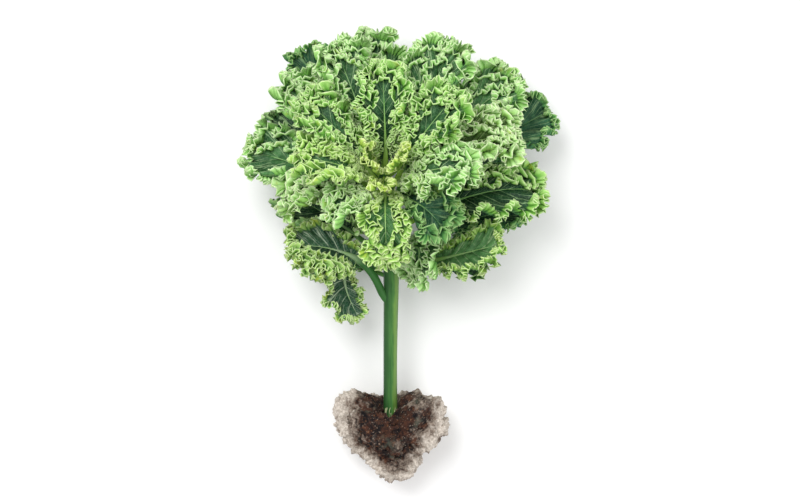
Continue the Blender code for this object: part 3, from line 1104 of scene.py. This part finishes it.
    def profile(self, length: Array, foot: Array) -> dict[str, Array]:
        """How the sheet runs out from the midrib and then turns up into its frill.

        Args:
            length: Each vein's length in the plane of the leaf.
            foot: How much frill each vein has, from 0 at the blade's foot to 1.

        Returns:
            For each vein and ring: progress, the share of the way out; rise, how far up it is
            turned; curl, its place in the frill from 0 to 1; and edge, its way to the rim.
        """
        curl_length = np.minimum(self.leaf.curl * foot, self.most_curl * length)[:, None]
        length = length[:, None]
        place = np.linspace(0, 1, self.curl_rings + 1)
        tilt = math.radians(self.leaf.lift) * ((place[1:] + place[:-1]) / 2) ** 0.7
        forward = np.concatenate(((0,), np.cumsum(np.cos(tilt)))) / self.curl_rings
        upward = np.concatenate(((0,), np.cumsum(np.sin(tilt)))) / self.curl_rings
        inset = 0.5 * self.frills[0].height * curl_length / max(self.leaf.curl, 1)
        flat = 1 - (curl_length * forward[-1] + inset) / length
        blade_end = np.maximum(flat, self.least_blade)
        inner = np.linspace(0, 1, self.blade_rings + 1)[:-1] * blade_end
        way = curl_length + (blade_end - inner) * length
        return {
            "progress": np.hstack((inner, blade_end + curl_length * forward / length)),
            "rise": np.hstack((np.zeros_like(inner), curl_length * upward)),
            "curl": np.hstack((np.zeros_like(inner), place + 0 * length)),
            "edge": np.hstack((way, curl_length * (1 - place))),
        }

    def sheets(self) -> list[Sheet]:
        """The fine sheet of the blade with its frill, and the rows of curls that stand on it.

        Returns:
            The sheets, the blade first.
        """
        veins = self.fine_veins()
        root, margin, reach = self.reach(veins.turn)
        length = np.maximum(np.hypot(margin - root, reach * veins.share), 2.0)
        foot = np.clip(veins.turn / self.frill_start, self.least_frill, 1)
        shape = self.profile(length, foot)
        progress, curl = shape["progress"], shape["curl"]
        points, angle = self.sheet(veins, progress)
        number = veins.wrapped(max(4, round((self.midrib.length - self.start) / self.vein_spacing)))
        hump = abs(np.sin(math.pi * number))[:, None] ** 0.7 * np.sin(math.pi * progress**0.8) ** 0.8
        puff = self.puff * (hump - 0.4) * np.minimum(progress * length[:, None] / 8, 1)
        points = points + self.local_frame(points)[2] * (puff + shape["rise"])[..., None]
        strong = foot * np.clip(length / self.full_frill, 0.25, 1)
        crest = 0.4 * np.sin(angle)[:, None] * progress**1.2
        points, folds = self.frilled(points, curl, strong, self.frills, 0, angle + math.pi / 2)
        uv = np.stack(np.broadcast_arrays(number[:, None], progress), -1)
        blade = Sheet(points, shape["edge"], curl, crest + folds, uv)
        some = np.flatnonzero(veins.side != self.leaf.bare)[:: self.row_skip]
        curled = Veins(veins.turn[some], veins.side[some], veins.share[some])
        ends, lengths = progress[some, self.blade_rings], length[some]
        places = enumerate(self.leaf.rows, 1)
        return [blade, *(self.row(order, curled, place * ends, lengths) for order, place in places)]

    def row(self, order: int, veins: Veins, place: Array, length: Array) -> Sheet:
        """A ruffled row that stands on the blade, between the midrib and the frill.

        Args:
            order: Its number among the leaf's rows.
            veins: The side veins that it crosses.
            place: Where it crosses each vein, as a share of the way from midrib to margin.
            length: Each vein's length.

        Returns:
            The row.
        """
        near = place[:, None] + np.array((-self.row_reach, 0.0, self.row_reach))
        ground, _ = self.sheet(veins, near)
        _, out, up = (axis[:, 1] for axis in self.local_frame(ground))
        full = np.minimum(self.row_height, self.row_most * length)
        height = full * np.clip((veins.turn - self.row_start) / self.row_run, 0.05, 1)
        rise = np.linspace(-self.row_sunk, 1, self.row_rings + 1)
        lean = up[:, None] + out[:, None] * (self.row_lean * rise**2)[:, None]
        points = ground[:, 1][:, None] + lean * (height[:, None] * rise)[..., None]
        curl = np.repeat(rise.clip(0)[None], len(veins.turn), axis=0)
        strong = height / self.row_height
        points, folds = self.frilled(points, curl, strong, self.row_frills, 10 * order)
        number = veins.wrapped(self.row_veins)[:, None]
        uv = np.stack(np.broadcast_arrays(number, curl), -1)
        return Sheet(points, height[:, None] * (1 - rise), 0.1 + 0.9 * curl, folds, uv)

    def frilled(
        self,
        points: Array,
        curl: Array,
        strong: Array,
        waves: tuple[Frill, ...],
        seed: int,
        first_angle: Array | None = None,
    ) -> tuple[Array, Array]:
        """A sheet with waves of several sizes, each of which rides on the one before.

        Args:
            points: The sheet.
            curl: Each point's place in the frill, from 0 to 1 at the rim.
            strong: How much frill each side vein has.
            waves: The sizes of the waves.
            seed: A number that sets this sheet's randomness apart from the leaf's others.
            first_angle: The first waves' angles, where they follow the blade's own waves.

        Returns:
            The waved sheet, and how far each point is on a crest or in a fold.
        """
        folds = np.zeros_like(curl)
        for order, wave in enumerate(waves):
            rim = np.linalg.norm(np.diff(points[:, -1], axis=0), axis=1)
            run = np.concatenate(((0,), np.cumsum(rim)))
            own = self.seed_step * self.seed + seed + order
            step = max(run[-1] / len(run), 0.05)
            growth = smooth_noise(len(run), 1.3 * wave.length / step, own + self.size_seed)
            size = 1 + self.size_drift * growth
            drift = self.place_drift * smooth_noise(len(run), 2.2 * wave.length / step, own)
            angle = 2 * math.pi * run / wave.length + drift
            if order == 0 and first_angle is not None:
                angle = first_angle
            angle = angle[:, None]
            strength = curl**wave.growth * (strong * size)[:, None]
            along, out, up = self.local_frame(points)
            rise = wave.height * strength * np.sin(angle)
            lean = -wave.lean * strength * np.sin(2 * angle)
            scallop = wave.scallop * strength * np.cos(angle * 2 + 0.7)
            points = points + up * rise[..., None] + along * lean[..., None]
            points = points + out * scallop[..., None]
            folds = folds + wave.weight * strength * np.sin(angle)
        points[..., 2] = np.maximum(points[..., 2], self.lowest)
        return points, folds

    @staticmethod
    def local_frame(points: Array) -> tuple[Array, Array, Array]:
        """Along the margin, out to the margin, and up, at each point of a sheet."""
        along, out = (unit(np.gradient(points, axis=axis)) for axis in (0, 1))
        return along, out, unit(np.cross(along, out))

    def rib(self) -> Array:
        """The leaf stalk and midrib, sunk into the stalk at the foot.

        Returns:
            The corners, as points[sample, corner].
        """
        share = np.linspace(0, self.rib_end, self.rib_samples)
        run = share * self.midrib.length
        centre, sides, normals = self.midrib.at(run)
        centre = centre + self.midrib.inwards * self.rib_sunk * np.exp(-run / self.rib_foot)[:, None]
        blade = np.clip((share - self.leaf.petiole) / (1 - self.leaf.petiole), 0, 1)
        size = 1 + (self.leaf.stoutness - 1) * (1 - blade) ** 6
        half = size * min(1.0, self.leaf.half_width / 30) * (0.4 + 2.4 * (1 - blade) ** 3.2)
        half = half * (0.5 + 0.5 * np.clip(run / self.rib_foot, 0, 1) ** 0.6)
        radii = np.stack((half, half * self.rib_flatness), -1)[:, None]
        centre = centre + normals * (half * self.rib_raised)[:, None]
        return tube_points(centre, sides, normals, radii, self.rib_around)

    def rib_map(self, columns: int, rings: int) -> Array:
        """The rib's map, in which U is 0.5 where the blade begins and 1 at the tip.

        Args:
            columns: How many samples the rib has.
            rings: How many corners it has at each sample.

        Returns:
            The map, as uv[sample, corner].
        """
        mapped = plain_map(columns, rings)
        places = mapped[..., 0] * self.rib_end
        mapped[..., 0] = np.interp(places, (0, self.leaf.petiole, 1), (0, 0.5, 1))
        return mapped

    def young(self, points: Array) -> Array:
        """How young the leaf is at each point, from most at the rosette's heart to 0 far off."""
        away = np.linalg.norm((points - np.array(self.heart)) / np.array(self.heart_reach), axis=-1)
        return self.youngest * np.clip(1 - away, 0, 1)

    def build(self) -> Mesh:
        """Builds the leaf's mesh.

        Returns:
            The leaf as one mesh: a thick blade with its rows of curls, and its rib.
        """
        points = self.rib()
        young = {"young": self.young(points)}
        rib = mapped_grid("rib", points + self.shift, self.rib_map(*points.shape[:2]), young)
        rib.polygons.foreach_set("material_index", np.full(len(rib.polygons), self.rib_material))
        return joined(self.leaf.name, [*(self.thickened(sheet) for sheet in self.sheets()), rib])

    def thickened(self, sheet: Sheet) -> Mesh:
        """A sheet as a closed shell, whose upper face, underside and rim have their own finish.

        Args:
            sheet: The sheet.

        Returns:
            The shell's mesh.
        """
        values = {
            "edge": sheet.edge,
            "curl": sheet.curl,
            "crest": sheet.crest,
            "shade": np.full_like(sheet.curl, self.shade * math.sin(5.1 * self.seed)),
            "young": self.young(sheet.points),
        }
        thin = mapped_grid(self.leaf.name, sheet.points + self.shift, sheet.uv, values)
        for _ in range(self.rib_material):
            thin.materials.append(None)
        holder = linked(self.leaf.name + "_sheet", thin)
        shell = holder.modifiers.new("Thickness", "SOLIDIFY")
        shell.thickness = self.thickness * MM
        shell.offset = 0
        shell.material_offset = 1
        shell.material_offset_rim = 2
        graph = bpy.context.evaluated_depsgraph_get()
        solid = bpy.data.meshes.new_from_object(holder.evaluated_get(graph))
        bpy.data.objects.remove(holder)
        bpy.data.meshes.remove(thin)
        return solid


@dataclass
class Rosette:
    """All the leaves."""

    under_detail: float = 0.6
    heart_detail: float = 0.9

    def build(self, stalk: Array, shift: Array) -> None:
        """Builds every leaf.

        Args:
            stalk: The stalk's line and radii.
            shift: How far the frame lies from the plant's own place, in millimetres.
        """
        details = {LeafTone.UNDER: self.under_detail, LeafTone.HEART: self.heart_detail}
        dressed = {tone: finish.materials() for tone, finish in LEAF_FINISHES.items()}
        midribs = [Midrib(leaf, stalk) for leaf in LEAVES]
        for index, (leaf, midrib) in enumerate(zip(LEAVES, midribs)):
            others = np.vstack([m.points for m in midribs if m is not midrib])
            detail = details.get(leaf.tone, 1.0)
            data = LeafBuilder(leaf, midrib, others, stalk, shift, index, detail).build()
            add_piece(leaf.name + "_blade", data, dressed[leaf.tone], leaf.name)


@dataclass
class SoilLump:
    """The crumbly lump of soil at the foot, with its dry pale flanks and loose crumbs."""

    centre: Point = (2.0, -168.0, 46.0)
    half: Point = (50.0, 46.0, 46.0)
    taper: float = 0.36
    bluntness: float = 0.32
    top: float = -128.0
    top_slope: float = 12.0
    bowl: float = 15.0
    bowl_width: float = 16.0
    bowl_middle: float = -1.0
    edge: float = 6.0
    lump: float = 13.0
    lump_size: float = 34.0
    lump_shares: tuple[float, ...] = (1.0, 0.45, 0.22)
    # Each the size and the height of its bumps
    clumps: tuple[float, float] = (7.5, 2.6)
    crumbs: tuple[float, float] = (5.2, 3.2)
    grains: tuple[float, float] = (2.2, 1.3)
    flat: float = 3.0
    core: Point = (0.0, -150.0, 80.0)
    core_size: Point = (44.0, 60.0, 90.0)
    subdivisions: int = 7
    clods: int = 260
    clod_radius: tuple[float, float] = (1.2, 3.6)
    clod_roughness: float = 0.7
    clod_grain: float = 1.6
    seed: int = 77

    def surface(self, direction: Vector) -> Vector:
        """The lump's surface, with no crumbs on it.

        Args:
            direction: A point on the unit sphere.

        Returns:
            Its place on the lump.
        """
        x, y, z = direction
        spread = (1 + self.taper * y) / max(math.hypot(x, z), 0.05) ** self.bluntness
        scaled = (x * spread, y, z * spread)
        place = Vector([c + h * s for c, h, s in zip(self.centre, self.half, scaled)])
        lump = sum(noise.noise(place / (self.lump_size * s)) * s for s in self.lump_shares)
        front = (place.z - self.centre[2]) / self.half[2]
        aside = (place.x - self.bowl_middle) / self.bowl_width
        top = self.top - self.top_slope * front - self.bowl * math.exp(-(aside**2) / 2)
        top += self.lump * lump
        place += direction * self.lump * lump
        place.y = top - self.edge * math.log1p(math.exp((top - place.y) / self.edge))
        return place

    def crumbled(self, direction: Vector) -> Vector:
        """The lump's surface, with crumbs of several sizes on it.

        Args:
            direction: A point on the unit sphere.

        Returns:
            Its place on the crumbs.
        """
        place = self.surface(direction)
        coarse = noise.noise(place / self.clumps[0]) * self.clumps[1]
        cells = (0.42 - noise.voronoi(place / self.crumbs[0])[0][0]) * self.crumbs[1]
        fine = (0.4 - noise.voronoi(place / self.grains[0])[0][0]) * self.grains[1]
        return place + direction * (coarse + cells + fine)

    def dry(self, place: Vector) -> float:
        """How dry and pale the soil is.

        Args:
            place: A point of the lump.

        Returns:
            0 at the damp core, up to 1 all round it.
        """
        away = [(p - c) / s for p, c, s in zip(place, self.core, self.core_size)]
        patch = noise.noise(place / 15) * 0.5 + noise.noise(place / 5) * 0.2
        amount = 1.25 * (math.sqrt(sum(part**2 for part in away)) + patch - 0.55)
        return min(max(amount, 0.0), 1.0)

    def finish(self) -> Material:
        """Dark reddish soil with rusty, mossy and pale flecks, and greyish dry flanks.

        Returns:
            The material.
        """
        graph = ShaderGraph("soil_crumbs", 0.95)
        black, umber = (0.008, 0.006, 0.007), (0.075, 0.03, 0.018)
        dark = graph.mix(graph.ease(graph.noise(9, 6, 0.7), 0.42, 0.62), black, umber)
        for speckle, low, high, amount, fleck in (
            (graph.noise(3.4, 6, 0.75), 0.54, 0.68, 0.75, (0.24, 0.1, 0.04)),
            (graph.noise(22, 4), 0.56, 0.7, 0.6, (0.11, 0.12, 0.09)),
            (graph.noise(2.0, 4), 0.6, 0.7, 0.6, (0.46, 0.36, 0.28)),
        ):
            dark = graph.tint(graph.ease(speckle, low, high), amount, dark, fleck)
        grain = graph.ease(graph.noise(2.4, 6, 0.75), 0.35, 0.65)
        grey = graph.mix(grain, (0.1, 0.068, 0.052), (0.38, 0.31, 0.25))
        pale_grey = graph.mix(grain, (0.41, 0.35, 0.29), (0.8, 0.73, 0.65))
        dryness = graph.plus(graph.attribute("dry"), graph.drift(4, 4, 0.7))
        colour = graph.mix(graph.ease(dryness, 0.1, 0.5), dark, grey)
        graph.colour(graph.mix(graph.ease(dryness, 0.4, 1.0), colour, pale_grey))
        graph.bump(graph.noise(1.3, 6, 0.7), 1.2, 1.0)
        return graph.material

    def build(self, shift: Array) -> None:
        """Builds the lump and the crumbs on it.

        Args:
            shift: How far the frame lies from the plant's own place, in millimetres.
        """
        ball = bmesh.new()
        bmesh.ops.create_icosphere(ball, subdivisions=self.subdivisions, radius=1)
        draw = np.random.default_rng(self.seed)
        seats = []
        for vertex in ball.verts:
            vertex.co = self.crumbled(vertex.co.copy())
            if draw.random() < self.clods / len(ball.verts):
                seats.append((vertex.co.copy(), float(draw.uniform(*self.clod_radius))))
        for seat, size in seats:
            clod = bmesh.ops.create_icosphere(ball, subdivisions=2, radius=size)
            for vertex in clod["verts"]:
                rough = self.clod_roughness * noise.noise(vertex.co / self.clod_grain + seat)
                vertex.co = vertex.co * (1 + rough) + seat
        dryness = ball.verts.layers.float.new("dry")
        for vertex in ball.verts:
            vertex.co.z = max(vertex.co.z - self.flat, 0.0)
            vertex[dryness] = self.dry(vertex.co)
            vertex.co = (vertex.co + Vector(shift)) * MM
        data = bpy.data.meshes.new("soil_lump")
        write_shape(ball, data)
        add_piece("soil_lump", data, [self.finish()], "soil")


@dataclass
class Studio:
    """A pale floor, soft light from above, and the camera that looks straight down."""

    middle: Point = (9.0, 15.0, 80.0)
    picture_width: float = 800.0
    lens: float = 100.0
    sensor: float = 36.0
    farthest: float = 50.0
    floor_side: float = 9000.0
    floor_colour: Colour = (0.93, 0.93, 0.93)
    sky_strength: float = 0.8
    # Name, place, side and power of each square lamp
    lamps: tuple[tuple[str, Point, float, float], ...] = (
        ("key", (-600, 700, 1900), 1100, 26),
        ("fill", (1200, -500, 1500), 1400, 9),
    )

    def floor(self) -> None:
        """Lays the floor."""
        sheet = bmesh.new()
        bmesh.ops.create_grid(sheet, x_segments=1, y_segments=1, size=self.floor_side / 2 * MM)
        data = bpy.data.meshes.new("floor")
        write_shape(sheet, data)
        graph = ShaderGraph("floor_paint", 0.9)
        graph.colour(self.floor_colour)
        data.materials.append(graph.material)
        linked("floor", data)

    def lights(self) -> None:
        """Hangs the soft lamps, which look at the plant, and sets the pale surroundings."""
        world = bpy.data.worlds.new("studio")
        world.use_nodes = True
        sky = world.node_tree.nodes["Background"]
        sky.inputs["Color"].default_value = (1, 1, 1, 1)
        sky.inputs["Strength"].default_value = self.sky_strength
        bpy.context.scene.world = world
        for name, place, side, power in self.lamps:
            data = bpy.data.lights.new(name, "AREA")
            data.energy = power
            data.size = side * MM
            made = linked(name, data)
            made.location = Vector(place) * MM
            made.rotation_euler = (-made.location).to_track_quat("-Z", "Y").to_euler()

    def camera(self, shift: Array) -> None:
        """Puts the camera straight above the middle of the picture.

        Args:
            shift: How far the frame lies from the plant's own place, in millimetres.
        """
        data = bpy.data.cameras.new("camera")
        data.lens = self.lens
        data.sensor_width = self.sensor
        data.clip_end = self.farthest
        made = linked("camera", data)
        above = self.picture_width * self.lens / self.sensor
        made.location = Vector(np.array(self.middle) + shift + np.array((0.0, 0.0, above))) * MM
        bpy.context.scene.camera = made

    def build(self, shift: Array) -> None:
        """Sets up floor, lights, camera and plain colours.

        Args:
            shift: How far the frame lies from the plant's own place, in millimetres.
        """
        self.floor()
        self.lights()
        self.camera(shift)
        bpy.context.scene.view_settings.view_transform = "Standard"


def main() -> None:
    """Builds the plant's looks."""
    logging.basicConfig(level=logging.INFO, format="%(message)s")
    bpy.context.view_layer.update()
    stalk = Stalk()
    shift = stalk.frame_shift()
    LOG.info("shift: %s", np.round(shift, 2))
    stalk.build(shift)
    Rosette().build(stalk.line(), shift)
    SoilLump().build(shift)
    Studio().build(shift)
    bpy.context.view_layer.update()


if __name__ == "__main__":
    main()
